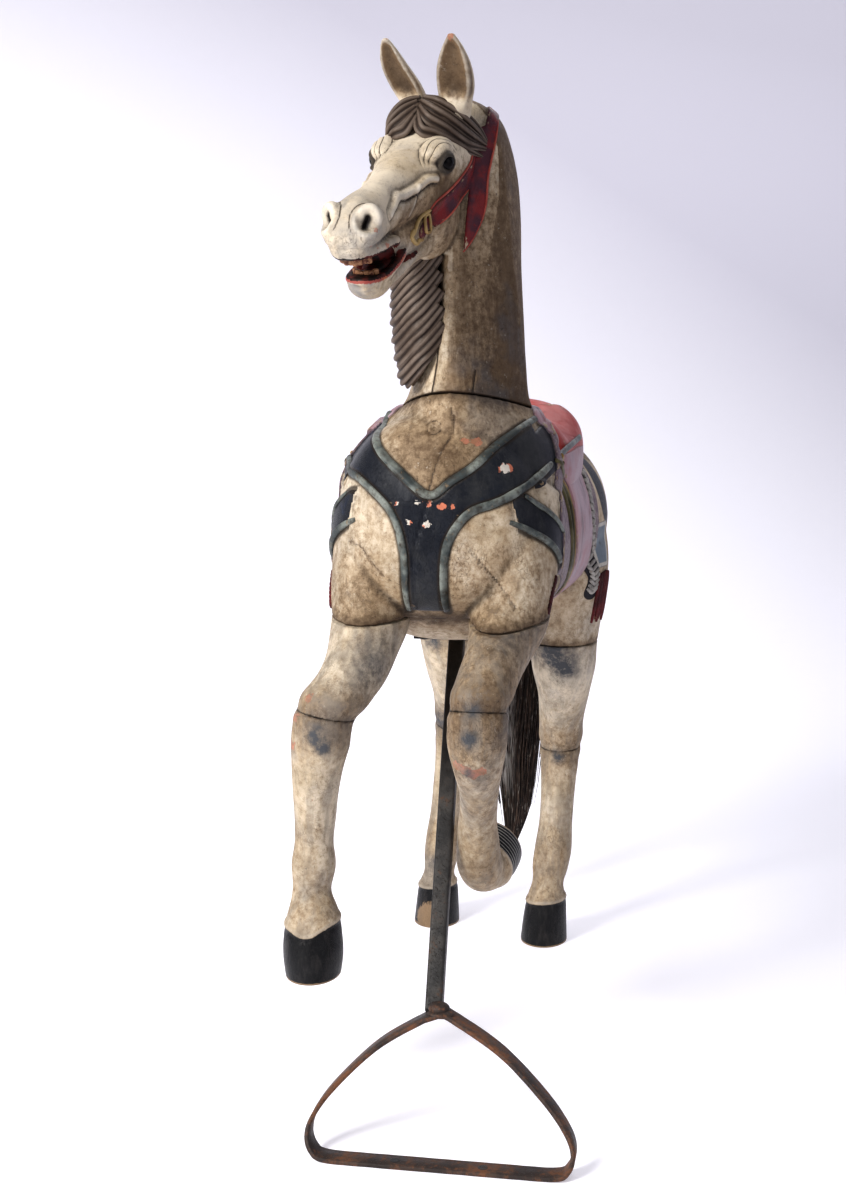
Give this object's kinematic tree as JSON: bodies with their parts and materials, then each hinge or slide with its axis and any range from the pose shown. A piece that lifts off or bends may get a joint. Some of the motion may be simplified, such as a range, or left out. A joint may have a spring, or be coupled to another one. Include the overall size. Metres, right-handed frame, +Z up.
{
  "type": "carousel horse",
  "caption": "Carved and painted wooden carousel horse with head turned, open mouth, breast collar and saddle, one foreleg raised, held up in front by a bent iron stand.",
  "frame": {"origin": "on the floor, under the middle of the horse's bounding box", "axes": "+X is the horse's left, -Y is where it faces, +Z is up"},
  "size_m": [0.4416, 1.1376, 1.4838],
  "materials": {
    "painted_wood": "aged cream and grey oil paint over carved wood, worn, stained and chipped",
    "glass_eye": "glossy black glass eye",
    "horsehair": "dark brown horsehair with white strands",
    "black_iron": "old black paint on bar iron, rubbed brown at the edges",
    "rusty_iron": "brown rusted flat iron strap"
  },
  "bodies": {
    "root": {"trunk": "painted_wood", "neck_and_head": "painted_wood", "right_foreleg_upper": "painted_wood", "right_foreleg_lower": "painted_wood", "left_foreleg_upper": "painted_wood", "left_foreleg_lower": "painted_wood", "left_hindleg_upper": "painted_wood", "left_hindleg_lower": "painted_wood", "right_hindleg_upper": "painted_wood", "right_hindleg_lower": "painted_wood", "left_eye": "glass_eye", "right_eye": "glass_eye", "tail": "horsehair", "belly_plate": "black_iron", "stand_post": "black_iron", "stand_loop": "rusty_iron"}
  },
  "joints": []
}
